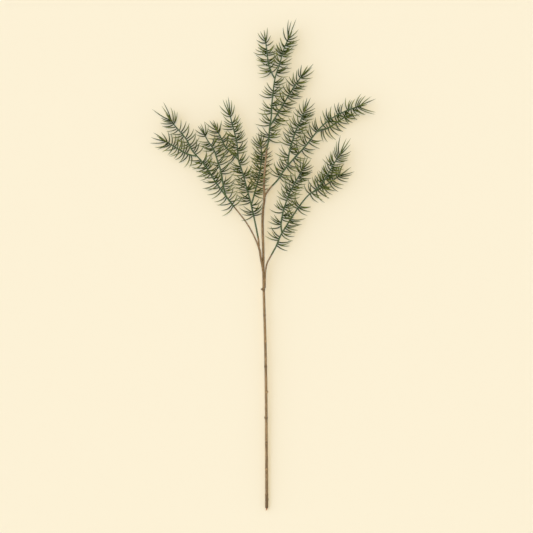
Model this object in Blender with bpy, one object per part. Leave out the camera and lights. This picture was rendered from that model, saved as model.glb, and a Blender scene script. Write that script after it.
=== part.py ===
"""An artificial cypress sprig, one metre long, lying on a flat surface.

A brown moulded main stem shows its copper core wire at the cut end. Brown stalks leave it and carry
green shoots. Each shoot is one solid: a thin four-sided stem with its needles grown out of it, every
needle a slim pyramid raised on one face of the stem. Lengths are millimetres until the meshes are
made. X runs to the sprig's right, Y from the cut end to the tips, Z up from the surface.
"""

import bisect
import math
import random

import bpy
import numpy as np
from mathutils import Vector

METRE = 0.001
UP = Vector((0.0, 0.0, 1.0))
GAP = 0.3

# Brown stems: radius at the foot and at the top of each.
MAIN_RADIUS = (2.8, 1.7)
MAIN_JOINT = 455.0
JOINT_TAPER = 40.0
MAIN_RADIUS_AT_JOINT = 2.6
MAIN_RADIUS_ABOVE_JOINT = 2.4
STALK_RADIUS = (1.6, 1.15)
FINE_STALK_RADIUS = (1.35, 1.2)
STALK_SIDES = 8
EIGHT_SIDES = {"left": 3, "right": 7}

# The rings of bark that swell the main stem, and the stubs left by trimmed twigs.
FIRST_RING = 27.0
RING_SPACING = 52.5
RING_SWELL = 0.45
RING_HALF_LENGTH = 2.2
LAST_RING = 480.0
STUB_LENGTH = 2.8
STUB_RISE = 1.5
STUBS = ((3, "left"), (4, "right"), (8, "left"))

# The core wire: it sits in a pocket in the stem's end and its own end is cut at a slant.
WIRE_RADIUS = 1.3
WIRE_STANDS_OUT = 4.1
WIRE_SEAT = 12.0
WIRE_SLANT = 4.4
WIRE_SIDES = 12

# Green shoots.
SHOOT_HALF_WIDTH = (1.15, 0.9)
FOUR_SIDES = {"top": 0, "left": 1, "bottom": 2, "right": 3}
BUD_SPAN = 3.6
BARE_SPAN = 13.0
CLEAR_START_STEP = 0.25

# Needles. Their lengths and their leans change along a shoot, from its foot to its tip.
NEEDLE_LENGTHS = (28.0, 22.5)
LEAN_SHARES = (1.08, 0.84)
NEEDLE_LENGTH_SPREAD = 0.14
NEEDLE_BASE_RADIUS = 1.35
NEEDLE_ROOT_SHARE = 0.35
NEEDLE_SAMPLES = 18
KIN_OVERLAP = 0.25

# How a needle in another's way is moved: tries, the turn in degrees and the lift that each adds.
TRIES = 7
FIRST_TRY = 0.6
TRY_TURN = 5.0
TRY_LIFT = 0.083
TRY_SHORTER = 0.06

# The crown of long needles at a shoot's tip, clothed on every face for a few spans.
CROWN_SPAN = 3.2
CROWN_HEIGHTS = (1.0, 6.0, -4.0, 9.0, -7.0, 3.0)
CROWN_LEANS = (34.0, 44.0, 52.0, 58.0)
CROWN_FORWARD = 1.0
CROWN_CHOICES = 3

# Colours, as linear red, green and blue.
BARK_COLOUR = (0.195, 0.135, 0.088)
GREEN_COLOUR = (0.045, 0.085, 0.06)
COPPER_COLOUR = (0.5, 0.25, 0.11)

# The fan of needles at a bud on each side of a shoot, the foremost kinds first, since a thin shoot
# carries only the first few. For each needle: how many spans it stands behind the bud's middle,
# which face, the lean from the shoot's heading and the lift out of the surface's plane, in degrees.
FANS = {
    "right": (
        (1, "right", 74, 4),
        (0, "right", 56, -4),
        (2, "right", 90, 2),
        (1, "top", 66, 34),
        (0, "bottom", 47, -28),
        (0, "top", 40, 22),
    ),
    "left": (
        (1, "left", 74, -5),
        (0, "left", 55, 6),
        (2, "left", 90, 4),
        (1, "bottom", 64, -30),
        (0, "top", 46, 30),
        (0, "bottom", 40, -20),
    ),
}

# Routes of the brown stems and, past the length given with each, of the green leaders they carry.
MAIN_ROUTE = (
    (-0.7, 2, 2.65), (-0.8, 58, 3.6), (-1.4, 171, 5.2), (-2, 250, 6.2), (-3.5, 339, 7.4),
    (-5.6, 413, 8.4), (-6.7, 452, 8.9), (-7.4, 490, 9.6), (-7.6, 530, 10.6), (-8.9, 568, 11.7),
    (-9, 594, 12.3), (-7.6, 615, 12.8), (-5.5, 634, 13.2), (-6.1, 662, 13.4), (-5, 686, 13.4),
    (-3.2, 708, 13.4), (-0.6, 734, 13.5), (3.5, 757, 13.6),
    (6, 783, 13.6), (9, 804, 13.8), (9.5, 824, 14), (12, 846, 14), (14.5, 868, 14.2),
    (18, 886, 14.4), (26, 909, 14.8), (34, 938, 15), (45, 963, 15),
)
LEFT_ROUTE = (
    (-8.3, 486, 13.8), (-9.6, 497.5, 13.5), (-13, 516, 13.2), (-16, 533, 13), (-28, 561, 12.6),
    (-41, 584, 12.4), (-56, 604, 12.4), (-69, 620, 12.4), (-84, 640, 12.4), (-104, 667, 12.6),
    (-121, 694, 12.8), (-137, 715, 13), (-152, 732, 13.2), (-165, 756, 13.2), (-186, 781, 13),
    (-197, 795, 13),
)
INNER_LEFT_ROUTE = (
    (-16, 537, 13), (-17.5, 551, 12), (-22, 575, 11.4), (-28, 603, 11), (-33, 625, 10.8),
    (-41, 655, 11), (-49, 685, 11.4), (-58, 714, 11.8), (-61, 745, 12.2), (-66, 768, 12.6),
    (-71, 788, 13), (-76, 806, 13.4),
)
INNER_RIGHT_ROUTE = (
    (-6, 634, 13.2), (-1, 646, 12.6), (8, 658, 12), (22, 673, 11.6), (33, 690, 11.6),
    (43, 703, 11.8), (59, 721, 12), (77, 740, 12.2), (95, 763, 12.4), (115, 785, 12.6),
    (138, 802, 12.8), (165, 815, 13), (189, 823, 13),
)
OUTER_RIGHT_ROUTE = (
    (-4.3, 452, 11.8), (-3.9, 470, 11.9), (-3.2, 485, 12), (0, 502, 11.8), (8, 518, 11.4),
    (19, 538, 11.2),
    (27, 558, 11), (39, 578, 11), (53, 600, 11), (68, 622, 11.2), (84, 641, 12),
    (102, 655, 13.4), (120, 676, 14.6), (136, 705, 15), (149, 724, 15),
)

# Routes of the side shoots, each from the leader it forks off.
OUTER_LEFT_UPRIGHT_ROUTE = (
    (-84, 640, 12.4), (-88, 655, 14), (-91, 673, 15), (-95, 694, 15.6), (-101, 712, 16),
    (-108, 733, 16), (-121, 753, 16), (-128, 766, 16),
)
OUTER_LEFT_LOWER_ROUTE = (
    (-144, 721, 13), (-161, 725, 11), (-178, 734, 9.6), (-194, 744, 9), (-208, 752, 9),
)
INNER_LEFT_SIDE_ROUTE = (
    (-58, 714, 11.8), (-68, 724, 10), (-85, 741, 8.6), (-93, 757, 8.2), (-103, 776, 8.2),
)
INNER_LEFT_TWIG_ROUTE = (
    (-32, 622, 10.8), (-28, 636, 9.4), (-22, 658, 8.2), (-15, 688, 7.6), (-12, 710, 7.4),
    (-11.5, 731, 7.6), (-12.5, 746, 8),
)
CENTRE_LEFT_ROUTE = (
    (15.5, 880, 14.4), (10, 890, 13.4), (4, 905, 12.6), (1.5, 920, 12.2), (-0.5, 938, 12),
    (-3, 957, 12),
)
CENTRE_RIGHT_ROUTE = (
    (5.5, 781, 13.6), (14, 795, 12.4), (26, 815, 11.4), (41, 840, 11), (56, 864, 11), (71, 885, 11.2),
)
INNER_RIGHT_UPRIGHT_ROUTE = (
    (43, 703, 11.8), (43.5, 717, 13), (47, 736, 14), (52, 752, 14.6), (59, 773, 15), (68, 792, 15.2),
    (77, 814, 15.4),
)
INNER_RIGHT_LOWER_ROUTE = (
    (104, 772, 10.6), (112, 776, 7.4), (124, 779, 6.2), (140, 789, 6), (155, 799, 6.4), (164, 803, 7),
)
OUTER_RIGHT_UPRIGHT_ROUTE = (
    (30.5, 565, 11), (28.5, 581, 13), (31, 599, 14.4), (36, 618, 15), (45, 643, 15.4), (55, 663, 15.6),
    (68, 686, 15.8), (73, 696, 16),
)
OUTER_RIGHT_LOWER_ROUTE = (
    (94, 648, 12.2), (106, 654, 8.6), (121, 663, 7.4), (136, 673, 7), (150, 683, 7.4),
)
# Where the longest needles at each shoot's tip end, seen from above.
CROWNS = {
    "outer_left_leader": ((-234, 817), (-211, 830), (-215, 824), (-196, 820), (-190, 817), (-183, 812)),
    "outer_left_upright": ((-141, 783), (-144, 764), (-135, 788), (-127, 790), (-120, 784)),
    "outer_left_lower": ((-240, 748), (-236, 759), (-232, 770), (-215, 769), (-230, 740), (-223, 735)),
    "inner_left_leader": ((-79, 842), (-90, 836), (-84, 838), (-72, 834), (-98, 826), (-66, 826)),
    "inner_left_side": ((-128, 792), (-117, 794), (-110, 796), (-102, 791), (-95, 786)),
    "inner_left_twig": ((-12, 773), (-18, 770), (-5, 768), (-23, 764)),
    "centre_leader": ((44, 999), (60, 1000), (50, 997), (64, 977), (33, 985), (67, 958)),
    "centre_left": ((-14, 976), (1, 983), (-6, 980), (8, 966), (-22, 960)),
    "centre_right": ((95, 910), (92, 902), (97, 897), (93, 880), (84, 908)),
    "inner_right_leader": ((213, 843), (221, 837), (222, 811), (220, 805), (202, 846), (192, 848)),
    "inner_right_upright": ((89, 840), (98, 829), (82, 841), (74, 835), (66, 829)),
    "inner_right_lower": ((186, 797), (190, 806), (176, 790), (168, 786)),
    "outer_right_leader": ((150, 764), (162, 757), (171, 758), (170, 745), (172, 732), (142, 752)),
    "outer_right_upright": ((90, 715), (84, 720), (78, 722), (68, 720), (92, 704)),
    "outer_right_lower": ((179, 690), (172, 699), (174, 684), (166, 668), (158, 708)),
}

# How far each brown stem runs along its route. Its green leader takes the rest.
MAIN_STEM_LENGTH = 734.0
LEFT_STALK_LENGTH = 146.0
INNER_LEFT_STALK_LENGTH = 17.0
INNER_RIGHT_STALK_LENGTH = 32.0
OUTER_RIGHT_STALK_LENGTH = 70.0
FINE_STALKS = (
    ("inner_left_stalk", INNER_LEFT_ROUTE, INNER_LEFT_STALK_LENGTH),
    ("inner_right_stalk", INNER_RIGHT_ROUTE, INNER_RIGHT_STALK_LENGTH),
    ("outer_right_stalk", OUTER_RIGHT_ROUTE, OUTER_RIGHT_STALK_LENGTH),
)

# A shoot starts where it clears the stem it forks from, unless `start` says where along its route.
# `right` and `left` are the distances along its route of the buds on each side, `needles` how many
# stand at each bud and `crown` how many spans of the stem's tip are clothed all round.
SHOOTS = (
    dict(name="centre_leader", route=MAIN_ROUTE, start=MAIN_STEM_LENGTH + GAP,
         needles=5, crown=3,
         right=(757, 773, 822, 848, 868, 890, 910, 932, 950),
         left=(759, 787, 811, 844, 908, 930)),
    dict(name="outer_left_leader", route=LEFT_ROUTE, start=LEFT_STALK_LENGTH + GAP,
         needles=3, crown=4,
         right=(152, 166, 190, 208, 224, 240, 256, 285, 300, 316, 334),
         left=(155, 174, 192, 210, 232, 246, 264, 306, 328, 346)),
    dict(name="inner_left_leader", route=INNER_LEFT_ROUTE, start=INNER_LEFT_STALK_LENGTH + GAP,
         needles=5, crown=2,
         right=(68, 86, 118, 148, 176, 200, 222, 238, 254),
         left=(66, 98, 114, 132, 150, 166, 190, 206, 226, 250)),
    dict(name="inner_right_leader", route=INNER_RIGHT_ROUTE, start=INNER_RIGHT_STALK_LENGTH + GAP,
         needles=4, crown=3,
         right=(57, 85, 107, 132, 152, 208, 230, 247, 262),
         left=(58, 72, 86, 115, 143, 160, 176, 210, 234, 256)),
    dict(name="outer_right_leader", route=OUTER_RIGHT_ROUTE, start=OUTER_RIGHT_STALK_LENGTH + GAP,
         needles=4, crown=4,
         right=(98, 120, 136, 152, 184, 224, 244, 268, 288),
         left=(107, 158, 184, 222, 238, 254, 272, 294)),
    dict(name="outer_left_upright", route=OUTER_LEFT_UPRIGHT_ROUTE,
         needles=4, crown=2,
         right=(12, 26, 52, 70, 88, 106), left=(40, 66, 96, 112)),
    dict(name="outer_left_lower", route=OUTER_LEFT_LOWER_ROUTE,
         needles=3, crown=3,
         right=(24, 40, 54), left=(13, 30, 44, 56)),
    dict(name="inner_left_side", route=INNER_LEFT_SIDE_ROUTE,
         needles=3, crown=3,
         right=(34, 52), left=(12, 30, 46, 58)),
    dict(name="inner_left_twig", route=INNER_LEFT_TWIG_ROUTE,
         needles=5, crown=3,
         right=(24, 42, 58, 74, 90, 104), left=(40, 58, 74, 90, 102)),
    dict(name="centre_left", route=CENTRE_LEFT_ROUTE,
         needles=4, crown=2,
         right=(34, 54), left=(17, 36, 56)),
    dict(name="centre_right", route=CENTRE_RIGHT_ROUTE,
         needles=5, crown=2,
         right=(18, 36, 54, 74, 90, 104), left=(34, 58, 78, 101)),
    dict(name="inner_right_upright", route=INNER_RIGHT_UPRIGHT_ROUTE,
         needles=5, crown=3,
         right=(32, 51, 68, 84, 98, 110, 122), left=(17, 46, 64, 82, 104)),
    dict(name="inner_right_lower", route=INNER_RIGHT_LOWER_ROUTE,
         needles=3, crown=2,
         right=(14, 29, 46), left=(24, 44)),
    dict(name="outer_right_upright", route=OUTER_RIGHT_UPRIGHT_ROUTE,
         needles=5, crown=4,
         right=(31, 54, 76, 94, 108, 122), left=(19, 46, 70, 86, 104)),
    dict(name="outer_right_lower", route=OUTER_RIGHT_LOWER_ROUTE,
         needles=4, crown=3,
         right=(9, 26, 45), left=(24, 44)),
)


class Route:
    """A smooth curve through a few points, read by the distance along it."""

    STEPS = 12

    def __init__(self, points):
        knots = [Vector(p) for p in points]
        knots = [2 * knots[0] - knots[1], *knots, 2 * knots[-1] - knots[-2]]
        self.points = [knots[1]]
        for i in range(1, len(knots) - 2):
            for step in range(1, self.STEPS + 1):
                self.points.append(self.between(knots[i - 1 : i + 3], step / self.STEPS))
        self.distances = [0.0]
        for a, b in zip(self.points, self.points[1:]):
            self.distances.append(self.distances[-1] + (b - a).length)
        self.length = self.distances[-1]

    @staticmethod
    def between(knots, t):
        before, start, end, after = knots
        slope = end - before
        curve = 2 * before - 5 * start + 4 * end - after
        bend = 3 * (start - end) + after - before
        return 0.5 * (2 * start + slope * t + curve * t**2 + bend * t**3)

    def at(self, distance):
        i = bisect.bisect_right(self.distances, distance)
        i = min(max(i, 1), len(self.points) - 1)
        a, b = self.points[i - 1], self.points[i]
        start, end = self.distances[i - 1], self.distances[i]
        return a.lerp(b, (distance - start) / (end - start))

    def axes(self, distance):
        """The heading, the direction to the right of it and the one above it."""
        heading = (self.at(distance + 1.5) - self.at(distance - 1.5)).normalized()
        right = heading.cross(UP).normalized()
        return heading, right, right.cross(heading)


class Thicket:
    """Every stem and needle placed so far, as tapered rods, so that new needles stay clear of them."""

    MOST_RODS = 6000

    def __init__(self):
        self.rods = np.zeros((self.MOST_RODS, 8))
        self.owners = np.zeros(self.MOST_RODS, int)
        self.stems = np.zeros(self.MOST_RODS, bool)
        self.count = 0

    def add(self, owner, start, end, start_radius, end_radius, stem=False):
        self.rods[self.count] = (*start, *end, start_radius, end_radius)
        self.owners[self.count] = owner
        self.stems[self.count] = stem
        self.count += 1

    def least_gap(self, points, radii, chosen):
        """The smallest distance left between balls at the points and the chosen rods."""
        rods = self.rods[: self.count][chosen]
        if not len(rods):
            return math.inf
        start, end = rods[:, 0:3], rods[:, 3:6]
        run = end - start
        offset = points[:, None, :] - start[None, :, :]
        along = np.clip((offset * run).sum(axis=2) / (run * run).sum(axis=1), 0.0, 1.0)
        distance = np.linalg.norm(offset - along[:, :, None] * run, axis=2)
        reach = rods[:, 6] + (rods[:, 7] - rods[:, 6]) * along
        return float((distance - reach - radii[:, None]).min())

    def room(self, owner, point, radius):
        """The gap between a ball on the owner's own stem and every other stem."""
        others = self.stems[: self.count] & (self.owners[: self.count] != owner)
        return self.least_gap(np.array([point]), np.array([radius]), others)

    def is_clear(self, owner, base, tip):
        """Whether a needle keeps its gap to other pieces and doesn't run through its own piece's needles."""
        along = np.linspace(0.0, 1.0, NEEDLE_SAMPLES)
        points = np.array(base) + along[:, None] * (np.array(tip) - np.array(base))
        radii = NEEDLE_BASE_RADIUS * (1 - along)
        others = self.owners[: self.count] != owner
        if self.least_gap(points, radii, others) < GAP:
            return False
        outer = along > NEEDLE_ROOT_SHARE
        kin = ~others & ~self.stems[: self.count]
        return self.least_gap(points[outer], radii[outer], kin) > -KIN_OVERLAP


def tube_rings(route, distances, radii, sides):
    """Rings of points round a route, one per distance."""
    rings = []
    for distance, radius in zip(distances, radii):
        centre = route.at(distance)
        _, right, above = route.axes(distance)
        ring = []
        for k in range(sides):
            angle = 2 * math.pi * (k + 0.5) / sides
            ring.append(centre + radius * (math.cos(angle) * right + math.sin(angle) * above))
        rings.append(ring)
    return rings


def skin(rings, spikes):
    """Vertices and faces of a closed skin over rings. A spike stands on the face of a span and side.

    spikes maps (span, side) to its tip. The foot is (-1, 0) and the far end (last ring, 0).
    """
    points = [tuple(p) for ring in rings for p in ring]
    sides = len(rings[0])
    panels = {(-1, 0): list(range(sides))}
    for span in range(len(rings) - 1):
        for side in range(sides):
            low = span * sides + side
            low_next = span * sides + (side + 1) % sides
            panels[span, side] = [low, low + sides, low_next + sides, low_next]
    last = (len(rings) - 1) * sides
    panels[len(rings) - 1, 0] = list(range(last + sides - 1, last - 1, -1))
    faces = []
    for place, corners in panels.items():
        if place not in spikes:
            faces.append(corners)
            continue
        points.append(tuple(spikes[place]))
        tip = len(points) - 1
        for a, b in zip(corners, corners[1:] + corners[:1]):
            faces.append([a, b, tip])
    return points, faces


def make_object(name, points, faces, material, smooth=False):
    mesh = bpy.data.meshes.new(name)
    mesh.from_pydata([[METRE * c for c in p] for p in points], [], faces)
    mesh.validate()
    if smooth:
        mesh.shade_smooth()
        mesh.set_sharp_from_angle(angle=math.radians(45))
    mesh.materials.append(material)
    made = bpy.data.objects.new(name, mesh)
    bpy.context.scene.collection.objects.link(made)
    return made


def make_material(name, colour, roughness, metallic=0.0):
    material = bpy.data.materials.new(name)
    material.use_nodes = True
    shader = material.node_tree.nodes["Principled BSDF"]
    shader.inputs["Base Color"].default_value = (*colour, 1.0)
    shader.inputs["Roughness"].default_value = roughness
    shader.inputs["Metallic"].default_value = metallic
    return material


def fade(value, start, end, pair):
    """The number that is pair[0] where value is start and pair[1] where it is end."""
    t = min(max((value - start) / (end - start), 0.0), 1.0)
    return pair[0] + (pair[1] - pair[0]) * t


def spaced(start, end, step):
    """Even distances from start to end, about a step apart."""
    count = max(1, round((end - start) / step))
    return [start + (end - start) * i / count for i in range(count + 1)]


def add_rods(thicket, owner, route, distances, radii):
    for i in range(len(distances) - 1):
        start, end = route.at(distances[i]), route.at(distances[i + 1])
        thicket.add(owner, start, end, radii[i], radii[i + 1], stem=True)


def clear_start(thicket, owner, route, radius):
    """The first place along a route where its stem stands clear of the stem it forks from."""
    start = 0.0
    while thicket.room(owner, route.at(start), radius) < GAP:
        start += CLEAR_START_STEP
    return start


def main_radius(distance):
    if distance < MAIN_JOINT:
        return fade(distance, 0.0, MAIN_JOINT, (MAIN_RADIUS[0], MAIN_RADIUS_AT_JOINT))
    taper_end = MAIN_JOINT + JOINT_TAPER
    if distance < taper_end:
        return fade(distance, MAIN_JOINT, taper_end, (MAIN_RADIUS_AT_JOINT, MAIN_RADIUS_ABOVE_JOINT))
    return fade(distance, taper_end, MAIN_STEM_LENGTH, (MAIN_RADIUS_ABOVE_JOINT, MAIN_RADIUS[1]))


def build_main_stem(owner, thicket, route, material):
    """The main stem: a pocket for the core wire, rings of bark, and stubs beside some of the rings."""
    pocket_radius = (WIRE_RADIUS + GAP) / math.cos(math.pi / STALK_SIDES)
    distances = [WIRE_SEAT, 0.0, 0.0]
    radii = [pocket_radius, pocket_radius, MAIN_RADIUS[0]]
    spikes = {}
    ring = 0
    place = FIRST_RING
    while place < LAST_RING:
        for step, swell in ((-RING_HALF_LENGTH, 0.0), (0.0, RING_SWELL), (RING_HALF_LENGTH, 0.0)):
            distances.append(place + step)
            radii.append(main_radius(place + step) + swell)
        for stub_ring, side in STUBS:
            if stub_ring == ring:
                _, right, _ = route.axes(place)
                reach = radii[-2] + STUB_LENGTH
                tip = route.at(place + STUB_RISE) + right * (reach if side == "right" else -reach)
                spikes[len(distances) - 3, EIGHT_SIDES[side]] = tip
        distances.append(place + RING_SPACING / 2)
        radii.append(main_radius(place + RING_SPACING / 2))
        ring += 1
        place += RING_SPACING
    while place < MAIN_STEM_LENGTH:
        distances.append(place)
        radii.append(main_radius(place))
        place += RING_SPACING / 2
    distances.append(MAIN_STEM_LENGTH)
    radii.append(MAIN_RADIUS[1])
    add_rods(thicket, owner, route, distances[2:], radii[2:])
    points, faces = skin(tube_rings(route, distances, radii, STALK_SIDES), spikes)
    return make_object("main_stem", points, faces, material, smooth=True)


def build_core_wire(owner, thicket, route, material):
    """The stub of core wire, with its outer end cut at a slant."""
    heading, right, _ = route.axes(0.0)
    distances = [-WIRE_STANDS_OUT, WIRE_SEAT - GAP]
    rings = tube_rings(route, distances, [WIRE_RADIUS, WIRE_RADIUS], WIRE_SIDES)
    centre = route.at(-WIRE_STANDS_OUT)
    for k, point in enumerate(rings[0]):
        aside = (point - centre).dot(right) / WIRE_RADIUS
        rings[0][k] = point + heading * (WIRE_SLANT / 2 * aside)
    add_rods(thicket, owner, route, [-WIRE_STANDS_OUT, 0.0], [WIRE_RADIUS, WIRE_RADIUS])
    points, faces = skin(rings, {})
    return make_object("core_wire", points, faces, material, smooth=True)


def build_stalk(name, owner, thicket, route, end, radii, material):
    """A plain brown stalk from the stem it forks off to the shoot that it carries."""
    start = clear_start(thicket, owner, route, radii[0])
    distances = spaced(start, end, BARE_SPAN)
    widths = [fade(d, start, end, radii) for d in distances]
    add_rods(thicket, owner, route, distances, widths)
    points, faces = skin(tube_rings(route, distances, widths, STALK_SIDES), {})
    return make_object(name, points, faces, material, smooth=True)


class Shoot:
    """A green shoot: its stem's rings, its buds and the needles that grow on the stem's faces."""

    def __init__(self, owner, thicket, name, route, needles, crown, right, left, start=None):
        self.name, self.owner, self.thicket = name, owner, thicket
        self.route = Route(route)
        self.chance = random.Random(owner)
        self.buds = {"right": right, "left": left}
        self.fan_needles, self.crown_spans = needles, crown
        if start is None:
            start = clear_start(thicket, owner, self.route, self.corner(SHOOT_HALF_WIDTH[0]))
        end = self.route.length
        first_bud = min(right + left) - 2 * BUD_SPAN
        crown_start = end - crown * CROWN_SPAN
        self.distances = [
            *spaced(start, first_bud, BARE_SPAN)[:-1],
            *spaced(first_bud, crown_start, BUD_SPAN)[:-1],
            *spaced(crown_start, end, CROWN_SPAN),
        ]
        radii = [self.corner(fade(d, start, end, SHOOT_HALF_WIDTH)) for d in self.distances]
        self.rings = tube_rings(self.route, self.distances, radii, 4)
        self.spikes = {}
        add_rods(thicket, owner, self.route, self.distances, radii)

    @staticmethod
    def corner(half_width):
        return half_width * math.sqrt(2)

    def panel_middle(self, place):
        span, side = place
        if span == len(self.rings) - 1:
            corners = self.rings[-1]
        else:
            low, high = self.rings[span], self.rings[span + 1]
            corners = [low[side], low[(side + 1) % 4], high[side], high[(side + 1) % 4]]
        return sum(corners, Vector()) / 4

    def add_needle(self, place, base, tip):
        self.spikes[place] = tip
        self.thicket.add(self.owner, base, tip, NEEDLE_BASE_RADIUS, 0.0)

    def outward_from(self, face, distance):
        _, right, above = self.route.axes(distance)
        return {"top": above, "left": -right, "bottom": -above, "right": right}[face]

    def grow_crown(self, tips):
        """The long needles of the tip, each on the face that looks most nearly towards its tip."""
        heading, _, _ = self.route.axes(self.route.length)
        last = len(self.rings) - 1
        normals = {(last, 0): heading}
        leans = {}
        for step, lean in enumerate(CROWN_LEANS[: self.crown_spans], start=1):
            for face, side in FOUR_SIDES.items():
                place = (last - step, side)
                normals[place] = self.outward_from(face, self.route.length) + CROWN_FORWARD * heading
                leans[place] = (face, lean)
        for i, (x, y) in enumerate(tips):
            height = max(self.rings[-1][0].z + CROWN_HEIGHTS[i % len(CROWN_HEIGHTS)], 0.0)
            tip = Vector((x, y, height))
            free = [place for place in normals if place not in self.spikes]
            towards = {place: (tip - self.panel_middle(place)).normalized() for place in free}
            free.sort(key=lambda place: -normals[place].normalized().dot(towards[place]))
            for place in free[:CROWN_CHOICES]:
                base = self.panel_middle(place)
                if self.thicket.is_clear(self.owner, base, tip):
                    self.add_needle(place, base, tip)
                    break
        for place, (face, lean) in leans.items():
            if place not in self.spikes:
                self.grow_needle(place, self.outward_from(face, self.route.length), lean)

    def grow_buds(self):
        """At every bud a fan of needles on the bud's own side, its top and its underside."""
        for side, buds in self.buds.items():
            for distance in buds:
                ring = self.ring_near(distance + BUD_SPAN / 2)
                aside = self.outward_from(side, distance)
                above = self.outward_from("top", distance)
                lean_share = fade(distance, self.distances[0], self.distances[-1], LEAN_SHARES)
                for behind, face, lean, lift in FANS[side][: self.fan_needles]:
                    place = self.free_place(ring - behind, FOUR_SIDES[face])
                    rise = math.radians(lift)
                    if place is not None:
                        outward = math.cos(rise) * aside + math.sin(rise) * above
                        self.grow_needle(place, outward, lean * lean_share)

    def ring_near(self, distance):
        return min(range(1, len(self.rings) - 1), key=lambda i: abs(self.distances[i] - distance))

    def free_place(self, span, side):
        """This span's face, or a neighbour's if a needle stands there already."""
        for near in (span, span + 1, span - 1):
            if (near, side) not in self.spikes and 0 <= near < len(self.rings) - 1:
                return near, side
        return None

    def grow_needle(self, place, outward, lean):
        """One needle, turned and shortened a little at each try until it stands clear of the rest."""
        base = self.panel_middle(place)
        distance = self.distances[place[0]]
        heading, _, above = self.route.axes(distance)
        length = fade(distance, self.distances[0], self.distances[-1], NEEDLE_LENGTHS)
        for attempt in range(TRIES):
            effort = attempt + FIRST_TRY
            angle = math.radians(lean + TRY_TURN * effort * self.chance.uniform(-1, 1))
            aside = outward + TRY_LIFT * effort * self.chance.uniform(-1, 1) * above
            direction = math.cos(angle) * heading + math.sin(angle) * aside.normalized()
            spread = self.chance.uniform(-NEEDLE_LENGTH_SPREAD, NEEDLE_LENGTH_SPREAD)
            tip = base + direction * length * (1 + spread - TRY_SHORTER * attempt)
            tip.z = max(tip.z, 0.0)
            if self.thicket.is_clear(self.owner, base, tip):
                self.add_needle(place, base, tip)
                return

    def build(self, material):
        points, faces = skin(self.rings, self.spikes)
        return make_object(self.name, points, faces, material)


def stand_on_origin(objects):
    """Moves the sprig so that the middle of its underside is at the origin."""
    corners = np.array([v.co for made in objects for v in made.data.vertices])
    low, high = corners.min(axis=0), corners.max(axis=0)
    for made in objects:
        made.location = (-(low[0] + high[0]) / 2, -(low[1] + high[1]) / 2, -low[2])


def build_sprig():
    bark = make_material("bark_brown", BARK_COLOUR, 0.75)
    green = make_material("spray_green", GREEN_COLOUR, 0.55)
    copper = make_material("wire_copper", COPPER_COLOUR, 0.35, metallic=1.0)
    main, left = Route(MAIN_ROUTE), Route(LEFT_ROUTE)
    thicket = Thicket()
    made = [
        build_main_stem(1, thicket, main, bark),
        build_core_wire(2, thicket, main, copper),
        build_stalk("left_stalk", 3, thicket, left, LEFT_STALK_LENGTH, STALK_RADIUS, bark),
    ]
    for owner, (name, route, length) in enumerate(FINE_STALKS, start=len(made) + 1):
        made.append(build_stalk(name, owner, thicket, Route(route), length, FINE_STALK_RADIUS, bark))
    shoots = []
    for owner, facts in enumerate(SHOOTS, start=len(made) + 1):
        shoots.append(Shoot(owner, thicket, **facts))
    for shoot in shoots:
        shoot.grow_crown(CROWNS[shoot.name])
    for shoot in shoots:
        shoot.grow_buds()
    made += [shoot.build(green) for shoot in shoots]
    stand_on_origin(made)


for old in list(bpy.data.objects):
    bpy.data.objects.remove(old)
build_sprig()
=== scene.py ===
"""The looks of an artificial cypress sprig lying on a pale surface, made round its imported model.

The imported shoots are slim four-sided stems with straight spikes. Each is replaced by a round stem
with one curved, flattened needle for every spike, from the spike's root to its tip, and with a few
more needles where the photo is denser. The brown stems are replaced by bark with rings, stubs and
grain, and the core wire by one with a slanted cut. Lengths are in millimetres, as in the model's
source, except where a comment says metres.
"""

import bisect
import math
import random

import bpy
import numpy as np
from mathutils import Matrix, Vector, noise

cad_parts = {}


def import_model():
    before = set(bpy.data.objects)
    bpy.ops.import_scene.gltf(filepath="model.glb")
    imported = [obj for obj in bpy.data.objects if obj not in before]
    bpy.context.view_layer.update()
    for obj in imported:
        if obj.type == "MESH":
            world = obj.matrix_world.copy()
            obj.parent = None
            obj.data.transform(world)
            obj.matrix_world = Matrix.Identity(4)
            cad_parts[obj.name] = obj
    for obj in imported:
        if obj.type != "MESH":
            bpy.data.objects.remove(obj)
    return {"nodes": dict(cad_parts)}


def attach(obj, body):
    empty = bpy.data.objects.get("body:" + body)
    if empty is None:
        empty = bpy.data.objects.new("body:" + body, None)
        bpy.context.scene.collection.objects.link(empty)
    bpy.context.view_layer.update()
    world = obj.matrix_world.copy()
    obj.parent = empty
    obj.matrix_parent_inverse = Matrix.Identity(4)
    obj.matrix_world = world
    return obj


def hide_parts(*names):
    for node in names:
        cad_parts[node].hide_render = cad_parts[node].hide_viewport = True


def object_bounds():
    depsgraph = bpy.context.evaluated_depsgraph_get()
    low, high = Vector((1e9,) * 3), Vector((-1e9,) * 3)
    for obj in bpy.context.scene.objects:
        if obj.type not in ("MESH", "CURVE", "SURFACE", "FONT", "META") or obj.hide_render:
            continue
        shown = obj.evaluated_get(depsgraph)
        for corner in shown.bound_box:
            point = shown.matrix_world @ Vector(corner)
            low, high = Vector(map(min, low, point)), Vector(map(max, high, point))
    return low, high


MILLIMETRE = 0.001
UP = Vector((0.0, 0.0, 1.0))
# The lowest that any point of a piece lies above the surface.
SURFACE_CLEARANCE = 0.05
# Faces that meet at more than this angle, in degrees, keep a sharp edge.
SHARP_EDGE = 70.0

# On the routes' own axes the leftmost needle ends at this x and the highest at this y.
LEFTMOST_TIP = -240.0
HIGHEST_TIP = 1000.0

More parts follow.
